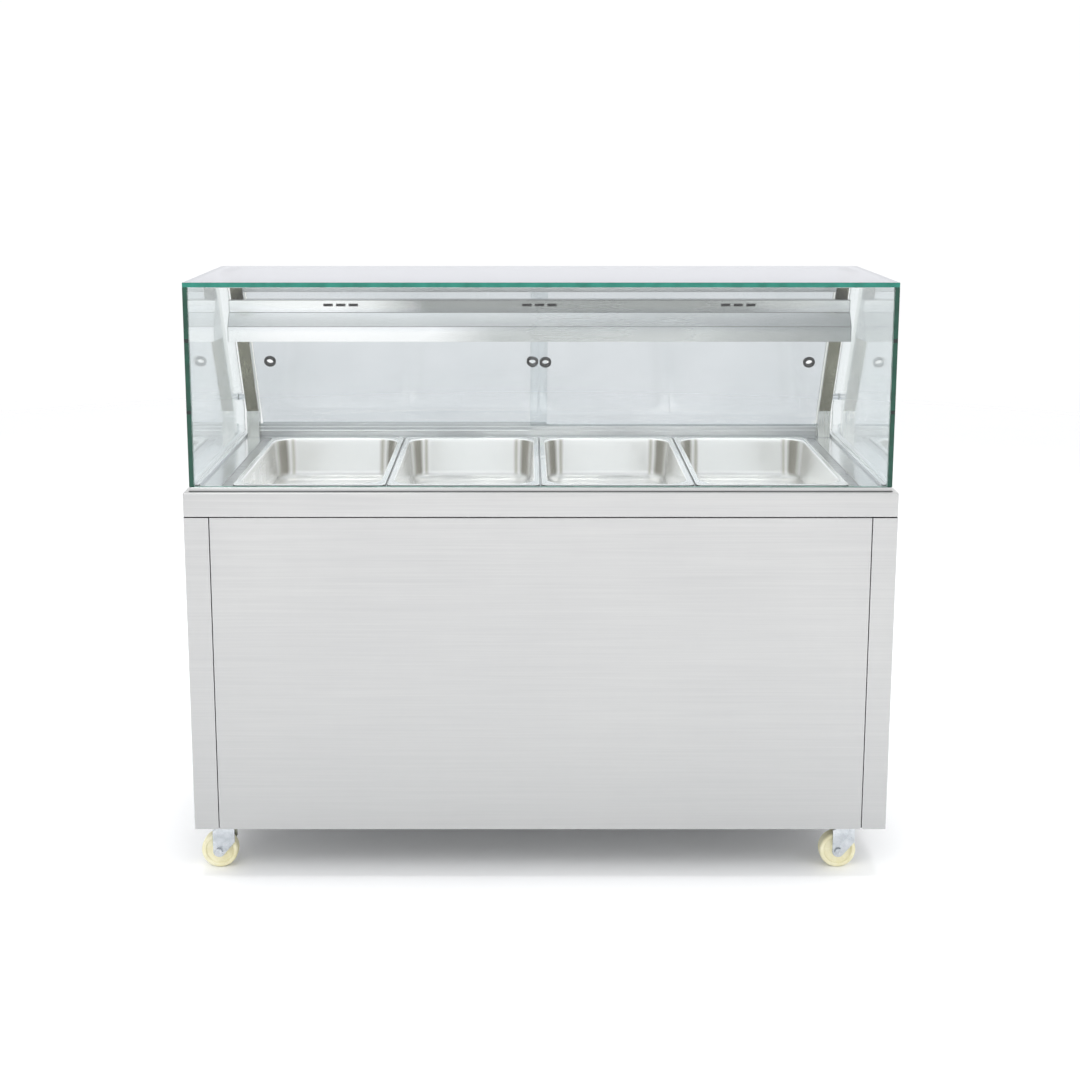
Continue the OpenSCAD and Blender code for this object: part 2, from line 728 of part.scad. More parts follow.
module caster_plate() {
  plate_z = caster_h - 3;
  difference() {
    translate([0, 0, plate_z]) linear_extrude(3) rounded(96, 76, 6);
    at_plate_bolts() translate([0, 0, plate_z - 1]) cylinder(r = 4.2, h = 6);
  }
  at_plate_bolts() {
    translate([0, 0, plate_z - 5]) cylinder(r = 7, h = 4.95, $fn = 6);
    translate([0, 0, plate_z - 1]) cylinder(r = 4, h = 4);
  }
  rotate_extrude() polygon([[0, caster_h - 3], [36, caster_h - 3], [34, fork_top + 0.1],
                            [0, fork_top + 0.1]]);
  translate([0, 0, fork_top - fork_t - 4]) cylinder(r = kingpin_r, h = fork_t + 5);
  translate([0, 0, fork_top - fork_t - 5]) cylinder(r = kingpin_r + 4, h = 4.9);
}

module caster_plates() color(zinc)
  for (side = [-1, 1]) {
    front_caster(side) caster_plate();
    rear_caster(side) caster_plate();
  }

// Outline of one fork leg, from the top plate down to the axle: upright at the wheel side, cut back below
// the swivel, round about the axle
module fork_leg() {
  x0 = -trail - leg_r;
  x1 = x0 + leg_w;
  hull() {
    translate([-trail, wheel_r]) circle(leg_r, $fn = 32);
    polygon([[x0, wheel_r], [x1, fork_top - 36], [x1, fork_top], [x0 + 26, fork_top], [x0, fork_top - 8]]);
  }
}

module caster_fork(braked) color(zinc) {
  difference() {
    union() {
      slab([-trail - leg_r + 20, -trail - leg_r + leg_w], [-fork_gap - fork_t, fork_gap + fork_t],
           [fork_top - fork_t, fork_top]);
      translate([0, 0, fork_top - fork_t]) cylinder(r = 26, h = fork_t);
      for (y = [fork_gap, -fork_gap - fork_t]) translate([0, y + fork_t, 0]) rotate([90, 0, 0])
        linear_extrude(fork_t) fork_leg();
    }
    translate([0, 0, fork_top - 10]) cylinder(r = kingpin_r + run_gap, h = 12);
    translate([-trail, 0, wheel_r]) rotate([90, 0, 0]) cylinder(r = axle_r + 0.1, h = 60, center = true);
    if (braked) translate([-pedal_y, 0, pedal_z]) rotate([90, 0, 0])
      cylinder(r = pedal_r + run_gap, h = 60, center = true);
  }
  translate([-trail, 0, wheel_r]) rotate([90, 0, 0]) {
    cylinder(r = axle_r, h = 2 * (fork_gap + fork_t) + 2, center = true);
    for (e = [-1, 1]) translate([0, 0, e * (fork_gap + fork_t + 2.6)])
      cylinder(r = 9, h = 5, center = true, $fn = 6);
  }
}

module caster_wheel() color(cream)
  translate([-trail, 0, wheel_r]) rotate([90, 0, 0]) rotate_extrude($fn = 96) {
    h = wheel_w / 2;
    polygon([[axle_r + run_gap, -h], [15, -h], [17, -h + 5], [29, -h + 5], [31, -h + 1], [37, -h + 1],
             [wheel_r - 0.6, -h + 4], [wheel_r, -h + 8], [wheel_r, h - 8], [wheel_r - 0.6, h - 4],
             [37, h - 1], [31, h - 1], [29, h - 5], [17, h - 5], [15, h], [axle_r + run_gap, h]]);
  }

// Pedal over the wheel; pressing it down brings the shoe to the tread
module caster_brake() color("firebrick")
  translate([-pedal_y, 0, pedal_z]) {
    rotate([90, 0, 0]) cylinder(r = pedal_r, h = 2 * (fork_gap + fork_t) + 2, center = true);
    rotate([0, pedal_tilt, 0]) {
      slab([-58, 0], [-pedal_w / 2, pedal_w / 2], [-1.5, 1.5]);
      slab([-15, -4], [-9, 9], [-5.2, -1]);
    }
  }

module caster_fork_front_left() front_caster(-1) caster_fork(false);
module caster_fork_front_right() front_caster(1) caster_fork(false);
module caster_fork_rear_left() rear_caster(-1) caster_fork(true);
module caster_fork_rear_right() rear_caster(1) caster_fork(true);
module caster_wheel_front_left() front_caster(-1) caster_wheel();
module caster_wheel_front_right() front_caster(1) caster_wheel();
module caster_wheel_rear_left() rear_caster(-1) caster_wheel();
module caster_wheel_rear_right() rear_caster(1) caster_wheel();
module caster_brake_rear_left() rear_caster(-1) caster_brake();
module caster_brake_rear_right() rear_caster(1) caster_brake();

// ---------- choice of node ----------

base_panel();
left_side_panel();
right_side_panel();
front_panel();
countertop();
storage_shelf();
control_fascia();
control_box();
thermostat_body();
thermostat_knob();
switch_housings();
heat_rocker();
light_rocker();
indicator_lamp();
cable_gland();
well_tank();
pan_support_bars();
heating_element();
drain_valve();
drain_lever();
left_post();
right_post();
front_glass();
left_side_glass();
right_side_glass();
top_glass();
glazing_beads();
glass_standoffs();
lamp_canopy();
lamp_reflector();
lamp_holders();
lamp_tubes();
lower_door_track();
upper_door_track();
left_sliding_glass();
right_sliding_glass();
left_door_shoe();
right_door_shoe();
left_finger_rings();
right_finger_rings();
pan_1();
pan_2();
pan_3();
pan_4();
left_cabinet_door();
right_cabinet_door();
left_door_handle();
right_door_handle();
hinge_brackets();
caster_plates();
caster_fork_front_left();
caster_fork_front_right();
caster_fork_rear_left();
caster_fork_rear_right();
caster_wheel_front_left();
caster_wheel_front_right();
caster_wheel_rear_left();
caster_wheel_rear_right();
caster_brake_rear_left();
caster_brake_rear_right();
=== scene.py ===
"""Looks of the hot food display case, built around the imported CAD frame."""

import math

import bpy
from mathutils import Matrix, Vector


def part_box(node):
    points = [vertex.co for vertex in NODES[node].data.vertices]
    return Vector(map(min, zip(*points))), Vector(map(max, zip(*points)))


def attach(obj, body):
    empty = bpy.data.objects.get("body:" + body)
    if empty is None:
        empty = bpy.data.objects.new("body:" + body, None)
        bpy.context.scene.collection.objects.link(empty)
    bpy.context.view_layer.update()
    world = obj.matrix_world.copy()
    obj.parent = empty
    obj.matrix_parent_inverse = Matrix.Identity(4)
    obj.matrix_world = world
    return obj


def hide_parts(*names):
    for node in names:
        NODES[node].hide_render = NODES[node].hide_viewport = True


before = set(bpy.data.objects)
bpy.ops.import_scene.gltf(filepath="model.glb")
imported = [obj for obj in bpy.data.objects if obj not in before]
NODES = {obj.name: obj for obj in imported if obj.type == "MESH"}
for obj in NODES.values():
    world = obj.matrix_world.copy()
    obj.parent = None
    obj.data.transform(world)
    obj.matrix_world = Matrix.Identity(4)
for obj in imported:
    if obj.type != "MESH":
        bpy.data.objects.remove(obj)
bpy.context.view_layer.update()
MM = 0.001


# ---------- materials ----------

def linear(*srgb):
    """Scene-linear colour from 0 to 255 display values."""
    out = []
    for value in srgb:
        v = value / 255
        out.append(v / 12.92 if v <= 0.04045 else ((v + 0.055) / 1.055) ** 2.4)
    return (*out, 1.0)


class Look:
    """One procedural material under construction. Its patterns are in the piece's own coordinates."""

    def __init__(self, name):
        self.material = bpy.data.materials.new("look_" + name)
        self.material.use_nodes = True
        self.tree = self.material.node_tree
        self.tree.nodes.clear()
        coords = self.add("TexCoord")
        self.place = coords.outputs["Object"]
        self.normal = coords.outputs["Normal"]

    def add(self, kind, inputs=None, **settings):
        """New shader node. Its inputs are numbers or the sockets to link to them."""
        node = self.tree.nodes.new("ShaderNode" + kind)
        for key, value in settings.items():
            setattr(node, key, value)
        for key, value in (inputs or {}).items():
            if isinstance(value, bpy.types.NodeSocket):
                self.tree.links.new(value, node.inputs[key])
            else:
                node.inputs[key].default_value = value
        return node

    def noise(self, stretch, detail, roughness=0.55, shift=(0, 0, 0)):
        """Noise with that many periods a metre along each axis."""
        mapped = self.add("Mapping", {"Vector": self.place, "Location": shift, "Scale": stretch})
        return self.add("TexNoise", {"Vector": mapped.outputs["Vector"], "Scale": 1.0, "Detail": detail,
                                     "Roughness": roughness}).outputs["Fac"]

    def math(self, operation, a, b=0.0):
        """Result of one sum. Both terms can be numbers or sockets."""
        return self.add("Math", {0: a, 1: b}, operation=operation).outputs[0]

    def close_to(self, value, middle, reach):
        """1 where the value is within reach of the middle, else 0."""
        return self.add("Math", {0: value, 1: middle, 2: reach}, operation="COMPARE").outputs[0]

    def spread(self, value, low, high, start=0.0, end=1.0):
        """The value, with its span from start to end mapped onto low to high."""
        return self.add("MapRange", {"Value": value, "From Min": start, "From Max": end,
                                     "To Min": low, "To Max": high}).outputs["Result"]

    def tones(self, value, *stops):
        """Colour from stops of (position, colour)."""
        ramp = self.add("ValToRGB", {"Fac": value})
        elements = ramp.color_ramp.elements
        while len(elements) < len(stops):
            elements.new(0.5)
        for element, (position, colour) in zip(elements, stops):
            element.position = position
            element.color = colour
        return ramp.outputs["Color"]

    def axis_of(self, vector, index):
        return self.add("SeparateXYZ", {"Vector": vector}).outputs[index]

    def bump(self, height, depth, strength):
        return self.add("Bump", {"Height": height, "Distance": depth, "Strength": strength}).outputs["Normal"]

    def done(self, shader):
        self.tree.links.new(shader.outputs[0], self.add("OutputMaterial").inputs["Surface"])
        return self.material


def grain_of(look, along):
    """Fine and wide brushing lines along X, Y or Z, or for 'sheet' level lines on every upright face."""
    fast, slow = 330.0, 4.0  # periods a metre across and along the lines
    if along != "sheet":
        stretch = [slow if axis == along else fast for axis in "XYZ"]
        wider = [slow * 0.5 if axis == along else fast * 0.25 for axis in "XYZ"]
        return look.noise(stretch, 2.0), look.noise(wider, 2.0)
    sideways = look.math("GREATER_THAN", look.math("ABSOLUTE", look.axis_of(look.normal, 0)), 0.7)
    out = []
    for scale in (1.0, 0.25):
        lines_x = look.noise((slow * scale, fast * scale, fast * scale), 2.0)
        lines_y = look.noise((fast * scale, slow * scale, fast * scale), 2.0)
        change = look.math("MULTIPLY", sideways, look.math("SUBTRACT", lines_y, lines_x))
        out.append(look.math("ADD", lines_x, change))
    return out


def steel(name, dark, light, rough, along="sheet", cloud=2.2, depth=0.03 * MM, metal=1.0, brush=1.0,
          tint=None):
    """Brushed or satin steel: fine lines and wider streaks of strength brush, and soft clouds of marks."""
    look = Look(name)
    fine, wide = grain_of(look, along)
    clouds = look.noise((cloud, cloud, cloud), 4.0, 0.6, (3.1, 1.7, 0.4))
    fine_share, wide_share = 0.40 * brush, 0.20 * brush
    mixed = look.math("ADD", look.math("MULTIPLY", fine, fine_share),
                      look.math("MULTIPLY", wide, wide_share))
    mixed = look.math("ADD", mixed, look.math("MULTIPLY", clouds, 1.0 - fine_share - wide_share))
    colour = look.tones(mixed, (0.36, linear(*dark)), (0.64, linear(*light)))
    # tint lays painted light and shade over the colour
    if tint is not None:
        colour = tint(look, colour)
    roughness = look.math("ADD", look.spread(fine, -0.03 * brush, 0.03 * brush, 0.3, 0.7),
                          look.spread(clouds, -0.03, 0.03, 0.3, 0.7))
    shader = look.add("BsdfPrincipled", {
        "Base Color": colour, "Metallic": metal, "Roughness": look.math("ADD", roughness, rough),
        "Normal": look.bump(fine, depth, 0.5)})
    return look.done(shader)


def cast(name, dark, light, rough, metallic=0.0, pattern=60.0, coat=0.0, sheen=0.5, glow=0.0):
    """Moulded, plated or enamelled surface: mottled colour, fine texture and handling marks."""
    look = Look(name)
    mottle = look.noise((pattern, pattern, pattern), 5.0, 0.6)
    wear = look.noise((pattern * 0.2, pattern * 0.2, pattern * 0.2), 3.0, 0.6, (5.0, 2.0, 1.0))
    mixed = look.math("ADD", look.math("MULTIPLY", mottle, 0.55), look.math("MULTIPLY", wear, 0.45))
    colour = look.tones(mixed, (0.35, linear(*dark)), (0.65, linear(*light)))
    shader = look.add("BsdfPrincipled", {
        "Base Color": colour, "Emission Color": colour, "Emission Strength": glow, "Metallic": metallic,
        "Roughness": look.spread(wear, rough - 0.08, rough + 0.10, 0.3, 0.7),
        "Specular IOR Level": sheen, "Coat Weight": coat,
        "Normal": look.bump(mottle, 0.05 * MM, 0.6)})
    return look.done(shader)


def glass(name, dark, light, sheen=None, shade=None):
    """Clear sheet glass with a faint uneven tint, soft smears and a slight waviness.

    sheen is its colour edge-on, and shade changes the tint in places.
    """
    look = Look(name)
    clouds = look.noise((3.0, 3.0, 3.0), 3.0, 0.5)
    smear = look.noise((9.0, 9.0, 2.0), 4.0, 0.6, (1.0, 4.0, 2.0))
    tint = look.tones(clouds, (0.3, linear(*dark)), (0.7, linear(*light)))
    if shade is not None:
        tint = shade(look, tint)
    body = look.add("BsdfPrincipled", {
        "Base Color": tint, "Metallic": 0.0, "Roughness": look.spread(smear, 0.0, 0.006, 0.45, 0.8),
        "IOR": 1.5, "Transmission Weight": 1.0, "Normal": look.bump(clouds, 0.1 * MM, 0.15)})
    if sheen is not None:
        glancing = look.add("LayerWeight", {"Blend": 0.5}).outputs["Facing"]
        paler = [value + 5 for value in sheen]
        film = look.add("BsdfPrincipled", {
            "Base Color": look.tones(clouds, (0.3, linear(*sheen)), (0.7, linear(*paler))),
            "Metallic": 1.0, "Roughness": 0.04})
        body = look.add("MixShader", {0: look.spread(glancing, 0.0, 0.8, 0.70, 0.95), 1: body.outputs[0],
                                      2: film.outputs[0]})
    passed = look.tones(clouds, (0.3, linear(248, 250, 250)), (0.7, linear(253, 254, 254)))
    clear = look.add("BsdfTransparent", {"Color": passed})
    lamp_ray = look.add("LightPath").outputs["Is Shadow Ray"]
    mixed = look.add("MixShader", {0: lamp_ray, 1: body.outputs[0], 2: clear.outputs[0]})
    return look.done(mixed)


def glass_edge(name, dark, light, marks=()):
    """Polished green edge of float glass. marks are heights where a dark spacer shows."""
    look = Look(name)
    spacer_half = 4 * MM
    flow = look.noise((30.0, 30.0, 30.0), 4.0, 0.6)
    colour = look.tones(flow, (0.34, linear(*dark)), (0.62, linear(*light)))
    height = look.axis_of(look.place, 2)
    for z in marks:
        colour = blend(look, look.close_to(height, z, spacer_half), colour, linear(14, 30, 27))
    shader = look.add("BsdfPrincipled", {
        "Base Color": colour, "Roughness": look.spread(flow, 0.14, 0.26), "Coat Weight": 0.25,
        "Coat Roughness": 0.08, "Normal": look.bump(flow, 0.05 * MM, 0.4)})
    return look.done(shader)


def blend(look, share, base, over):
    """Colour base, with over laid on it by that share."""
    return look.add("Mix", {0: share, 6: base, 7: over}, data_type="RGBA").outputs[2]


def cabinet_painted_shade(look, colour):
    """Painted shade: the steel turns greyer towards the bottom of the cabinet."""
    low = look.spread(look.axis_of(look.place, 2), 0.54, 0.0, 0.1, 0.86)
    return blend(look, low, colour, linear(150, 151, 151))


def post_painted_reflection(look, colour):
    """Painted reflection: dark, warm olive steel only on the front faces of a post above its bend, where it
    mirrors dark surroundings; the rest is bright.
    """
    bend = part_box("right_post")[0].z + 66 * MM
    above = look.math("GREATER_THAN", look.axis_of(look.place, 2), bend)
    ahead = look.math("LESS_THAN", look.axis_of(look.normal, 1), -0.4)
    return blend(look, look.math("MULTIPLY", above, ahead), linear(222, 223, 218), colour)


def canopy_painted_light(look, colour):
    """Canopy faces with painted light and shade: bright lip, greyer upper face away from its left end,
    painted shade at the folds and slot rims.
    """
    lo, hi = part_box("lamp_canopy")
    upper_fold, lower_fold = hi.z - 29 * MM, lo.z + 35 * MM
    slot_height, group_pitch, slot_pitch = hi.z - 12 * MM, 456 * MM, 29 * MM
    height = look.axis_of(look.place, 2)
    across = look.spread(look.axis_of(look.place, 0), 0.0, 1.0, lo.x, hi.x)
    patches = look.noise((2.6, 0.5, 8.0), 2.0, 0.5, (0.7, 0, 0))
    shifted = look.math("ADD", look.math("MULTIPLY", across, 0.8), look.math("MULTIPLY", patches, 0.4))
    upper = look.tones(shifted, (0.34, linear(252, 253, 252)), (0.47, linear(155, 158, 156)),
                       (0.80, linear(161, 164, 162)), (1.0, linear(222, 224, 223)))
    lower = look.tones(shifted, (0.45, linear(254, 254, 254)), (0.60, linear(196, 199, 198)),
                       (0.72, linear(206, 209, 208)), (0.95, linear(174, 177, 176)))
    slope = look.tones(shifted, (0.40, linear(214, 217, 216)), (0.62, linear(202, 205, 204)),
                       (0.95, linear(180, 183, 182)))
    colour = blend(look, look.math("GREATER_THAN", height, lower_fold), colour, slope)
    colour = blend(look, look.math("GREATER_THAN", height, upper_fold), colour, upper)
    colour = blend(look, look.math("LESS_THAN", height, lower_fold), colour, lower)
    sideways = look.axis_of(look.place, 0)
    # painted shade along the folds, the top edge and both ends
    for place, fold, half in (
            (height, upper_fold, 1.2 * MM), (height, lower_fold + 0.5 * MM, 0.8 * MM),
            (height, hi.z, 2.2 * MM), (sideways, lo.x, 1.6 * MM), (sideways, hi.x, 1.6 * MM)):
        line = look.math("MULTIPLY", look.close_to(place, fold, half), 0.6)
        colour = blend(look, line, colour, linear(96, 100, 99))
    # painted shade round the rims of the louvre slots, in three groups of three
    away = look.math("ABSOLUTE", sideways)
    for pitch in (group_pitch, slot_pitch):
        away = look.math("MINIMUM", away, look.math("ABSOLUTE", look.math("SUBTRACT", away, pitch)))
    rim = look.math("MULTIPLY", look.math("LESS_THAN", away, 10.8 * MM),
                    look.close_to(height, slot_height, 3.2 * MM))
    return blend(look, rim, colour, linear(30, 32, 32))


def pan_painted_light(look, colour):
    """Painted reflection of the room: brown and white streaks down a pan's corners; greyer rim; painted shade
    on the fillet.
    """
    lo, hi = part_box("pan_1")
    height = look.axis_of(look.place, 2)
    level = look.math("ABSOLUTE", look.axis_of(look.normal, 2))
    # painted shade along the fillet at the foot of the walls
    low = look.math("LESS_THAN", height, lo.z + 25 * MM)
    fillet = look.axis_of(look.tones(level, (0.06, (0, 0, 0, 1)), (0.42, (0.62, 0.62, 0.62, 1)),
                                     (0.86, (0.30, 0.30, 0.30, 1)), (1.0, (0.10, 0.10, 0.10, 1))), 0)
    colour = blend(look, look.math("MULTIPLY", low, fillet), colour, linear(118, 121, 120))
    rim = look.math("GREATER_THAN", height, hi.z - 0.7 * MM)
    colour = blend(look, look.math("MULTIPLY", rim, 0.55), colour, linear(186, 190, 191))
    # painted reflection: streaks set by which way an upright face turns
    side = look.math("ABSOLUTE", look.axis_of(look.normal, 0))
    upright = look.spread(level, 0.9, 0.0, 0.22, 0.66)
    drift = look.noise((14.0, 14.0, 5.0), 2.0, 0.5)
    turn = look.math("ADD", side, look.spread(drift, -0.05, 0.05, 0.3, 0.7))
    streaks = look.tones(turn, (0.06, linear(250, 250, 250)), (0.22, linear(186, 182, 170)),
                         (0.36, linear(246, 246, 245)), (0.54, linear(118, 112, 96)),
                         (0.78, linear(142, 138, 124)), (0.96, linear(232, 232, 230)))
    return blend(look, upright, colour, streaks)


def door_shade(look, tint):
    """Paler glass where the two shut doors overlap, so that the double pane isn't much darker."""
    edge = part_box("left_sliding_glass")[1].x
    overlap = look.math("LESS_THAN", look.math("ABSOLUTE", look.axis_of(look.place, 0)), edge)
    return blend(look, overlap, tint, linear(227, 231, 233))


LOOKS = {
    "brushed_steel": steel("brushed_steel", (196, 196, 196), (207, 207, 206), 0.36, metal=0.75,
                           tint=cabinet_painted_shade),
    "satin_steel": steel("satin_steel", (190, 192, 194), (214, 216, 217), 0.30, cloud=4.0),
    "pan_steel": steel("pan_steel", (249, 249, 248), (254, 254, 253), 0.20, cloud=7.0, depth=0.001 * MM,
                       metal=0.6, brush=0.2, tint=pan_painted_light),
    # the post steel's dark olive colours are a painted reflection, shown only on the posts' front faces above
    # the bend
    "post_steel": steel("post_steel", (112, 110, 92), (148, 146, 129), 0.24, along="Z", cloud=6.0,
                        tint=post_painted_reflection),
    "canopy_steel": steel("canopy_steel", (220, 222, 221), (234, 236, 235), 0.26, along="X", cloud=1.6,
                          depth=0.001 * MM, brush=0.25, tint=canopy_painted_light),
    "zinc_plate": cast("zinc_plate", (172, 177, 182), (220, 223, 226), 0.30, metallic=1.0, pattern=55.0),
    "aluminium_profile": steel("aluminium_profile", (220, 223, 225), (236, 238, 239), 0.42, along="X",
                               metal=0.6, brush=0.5),
    "chromed_fitting": cast("chromed_fitting", (214, 216, 220), (238, 240, 242), 0.12, metallic=1.0),
    "fixed_glass": glass("fixed_glass", (250, 252, 252), (253, 254, 254)),
    "door_glass": glass("door_glass", (207, 212, 215), (219, 223, 226), shade=door_shade),
    "lamp_glass": cast("lamp_glass", (222, 220, 214), (246, 244, 238), 0.16, coat=0.8, pattern=40.0,
                       glow=13.0),
    "amber_lens": cast("amber_lens", (214, 96, 12), (246, 140, 30), 0.18, coat=1.0, pattern=300.0),
    "white_ceramic": cast("white_ceramic", (214, 211, 202), (236, 234, 226), 0.55, pattern=90.0),
    "black_rubber": cast("black_rubber", (22, 24, 25), (46, 48, 50), 0.55, pattern=160.0, sheen=0.3),
    "black_plastic": cast("black_plastic", (20, 20, 22), (44, 44, 47), 0.38, pattern=220.0),
    "grey_plastic": cast("grey_plastic", (116, 119, 122), (150, 153, 156), 0.42, pattern=220.0),
    "red_plastic": cast("red_plastic", (166, 20, 18), (206, 38, 30), 0.30, pattern=220.0, coat=0.3),
    "green_plastic": cast("green_plastic", (18, 112, 60), (34, 150, 84), 0.30, pattern=220.0, coat=0.3),
    "red_enamel": cast("red_enamel", (150, 22, 20), (196, 36, 30), 0.32, pattern=120.0, coat=0.5),
    "element_sheath": cast("element_sheath", (62, 56, 50), (112, 104, 94), 0.42, metallic=0.9,
                           pattern=70.0),
    "valve_brass": cast("valve_brass", (176, 138, 66), (222, 188, 112), 0.26, metallic=1.0, pattern=80.0),
    "cream_nylon": cast("cream_nylon", (222, 214, 170), (244, 240, 212), 0.42, pattern=45.0, sheen=0.4),
}
# painted highlight: smoother steel, lighter than the sheet, on rounded edges and the worktop's lip
EDGE_HIGHLIGHT = steel("edge_highlight", (206, 207, 208), (224, 225, 225), 0.26, depth=0.01 * MM)
# painted shade: dark steel laid in creases, at the worktop's shoulder and under the pans' rims
CREASE_SHADE = steel("crease_shade", (84, 86, 86), (120, 122, 122), 0.5)
DECK = steel("deck_steel", (218, 220, 221), (236, 238, 239), 0.17, along="X", cloud=3.0,
             depth=0.006 * MM, brush=0.5)
TOP_GLASS = glass("top_glass", (238, 241, 246), (246, 248, 251), sheen=(160, 164, 182))
SIDE_GLASS = glass("side_glass", (222, 230, 231), (234, 239, 240))
SPACER_HEIGHTS = (1.179, 1.029)  # metres above the floor, of the dark spacers at the side glass
# painted light and shade: the top edges are a lighter green than the side edges, as light from above enters
# the top
TOP_EDGE = glass_edge("top_edge", (16, 108, 92), (28, 126, 110))
SIDE_EDGE = glass_edge("side_edge", (6, 58, 44), (12, 72, 56), marks=SPACER_HEIGHTS)
THIN_EDGE = glass_edge("thin_edge", (60, 118, 104), (128, 176, 162))
SPECIAL_GLASS = {"top_glass": TOP_GLASS, "left_side_glass": SIDE_GLASS, "right_side_glass": SIDE_GLASS}


# ---------- CAD nodes ----------

DOOR_LEAN = math.radians(28)  # of the sliding doors, from upright
FLAT_WITHIN = math.radians(0.6)  # faces that meet at less than this are one flat face
SHARP_FROM = math.radians(38)  # edges that turn by more than this are rounded


def soften(node, width, edge_look):
    """Rounds a node's sharp edges by that width, on its welded and cleaned mesh.

    The rounded edges have edge_look, or the node's own look if that is None.
    """
    obj = NODES[node]
    if "custom_normal" in obj.data.attributes:
        obj.data.attributes.remove(obj.data.attributes["custom_normal"])
    weld = obj.modifiers.new("weld", "WELD")
    weld.merge_threshold = 0.01 * MM
    flat = obj.modifiers.new("flat", "DECIMATE")
    flat.decimate_type = "DISSOLVE"
    flat.angle_limit = FLAT_WITHIN
    flat.delimit = {"MATERIAL"}
    bevel = obj.modifiers.new("bevel", "BEVEL")
    bevel.limit_method = "ANGLE"
    bevel.angle_limit = SHARP_FROM
    bevel.width = width
    bevel.segments = 2
    if edge_look is not None:
        obj.data.materials.append(edge_look)
        bevel.material = len(obj.data.materials) - 1
    obj.modifiers.new("normals", "WEIGHTED_NORMAL").keep_sharp = True
    obj.data.polygons.foreach_set("use_smooth", [True] * len(obj.data.polygons))


def dress_nodes():
    """Gives every CAD node the look of its material slot."""
    for obj in NODES.values():
        slot = obj.data.materials[0].name.split(".")[0]
        obj["slot"] = slot
        obj.data.materials.clear()
        obj.data.materials.append(LOOKS[slot])


def edge_panes():
    """Puts the green edge look on the narrow faces of each pane."""
    through_door = Vector((0, math.cos(DOOR_LEAN), math.sin(DOOR_LEAN)))
    panes = {
        "top_glass": (Vector((0, 0, 1)), TOP_EDGE),
        "front_glass": (Vector((0, 1, 0)), THIN_EDGE),
        "left_side_glass": (Vector((1, 0, 0)), SIDE_EDGE),
        "right_side_glass": (Vector((1, 0, 0)), SIDE_EDGE),
        "left_sliding_glass": (through_door, THIN_EDGE),
        "right_sliding_glass": (through_door, THIN_EDGE),
    }
    for node, (through, look) in panes.items():
        mesh = NODES[node].data
        if node in SPECIAL_GLASS:
            mesh.materials[0] = SPECIAL_GLASS[node]
        mesh.materials.append(look)
        for face in mesh.polygons:
            if abs(face.normal.dot(through)) < 0.5:
                face.material_index = 1


# width in millimetres that the sharp edges of each material slot are rounded by
ROUNDING = {
    "brushed_steel": 0.7, "satin_steel": 0.4, "post_steel": 1.0, "canopy_steel": 0.6, "zinc_plate": 0.5,
    "aluminium_profile": 0.4, "chromed_fitting": 0.5, "fixed_glass": 1.0, "door_glass": 0.6,
    "black_rubber": 0.6, "black_plastic": 0.5, "red_enamel": 0.5, "cream_nylon": 1.0, "valve_brass": 0.4,
    "white_ceramic": 0.6, "red_plastic": 0.4, "green_plastic": 0.4, "grey_plastic": 0.4, "pan_steel": 0.4,
}
# slots whose rounded edges get the painted highlight
HIGHLIGHTED_EDGES = ("brushed_steel", "satin_steel", "post_steel", "canopy_steel")


def soften_nodes():
    """Rounds the edges of every CAD node whose material slot has a rounding width."""
    for name, obj in NODES.items():
        slot = obj["slot"]
        if slot not in ROUNDING:
            continue
        soften(name, ROUNDING[slot] * MM, EDGE_HIGHLIGHT if slot in HIGHLIGHTED_EDGES else None)


dress_nodes()
edge_panes()
soften_nodes()


# ---------- pieces built here ----------

def rounded_ring(half_x, half_y, radius, z, middle=(0.0, 0.0)):
    """Points of a level rectangle with round corners, counted anticlockwise, in metres from millimetres."""
    points, corner_points = [], 9
    for corner, (sx, sy) in enumerate(((1, 1), (-1, 1), (-1, -1), (1, -1))):
        for step in range(corner_points):
            turn = math.radians(90 * (corner + step / (corner_points - 1)))
            points.append(((middle[0] + sx * (half_x - radius) + radius * math.cos(turn)) * MM,
                           (middle[1] + sy * (half_y - radius) + radius * math.sin(turn)) * MM, z * MM))
    return points


def loft(name, rings, look, cap=False):
    """Skin over rings of equal length, smooth, with its last ring filled if cap is set."""
    count = len(rings[0])
    faces = []
    for level in range(len(rings) - 1):
        a, b = level * count, (level + 1) * count
        faces += [(a + i, a + (i + 1) % count, b + (i + 1) % count, b + i) for i in range(count)]
    if cap:
        last = (len(rings) - 1) * count
        faces.append(tuple(last + i for i in range(count)))
    mesh = bpy.data.meshes.new(name)
    mesh.from_pydata([p for ring in rings for p in ring], [], faces)
    mesh.polygons.foreach_set("use_smooth", [True] * len(faces))
    mesh.materials.append(look)
    obj = bpy.data.objects.new(name, mesh)
    bpy.context.scene.collection.objects.link(obj)
    return obj


def thicken(obj, thickness):
    """Gives a skin its sheet thickness, on the side away from its normals."""
    solid = obj.modifiers.new("sheet", "SOLIDIFY")
    solid.thickness = thickness
    solid.offset = -1.0
    solid.use_even_offset = True
    obj.modifiers.new("normals", "WEIGHTED_NORMAL").keep_sharp = True


def box_mm(node):
    """Opposite corners of a CAD node's box, in millimetres."""
    lo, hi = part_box(node)
    return lo / MM, hi / MM


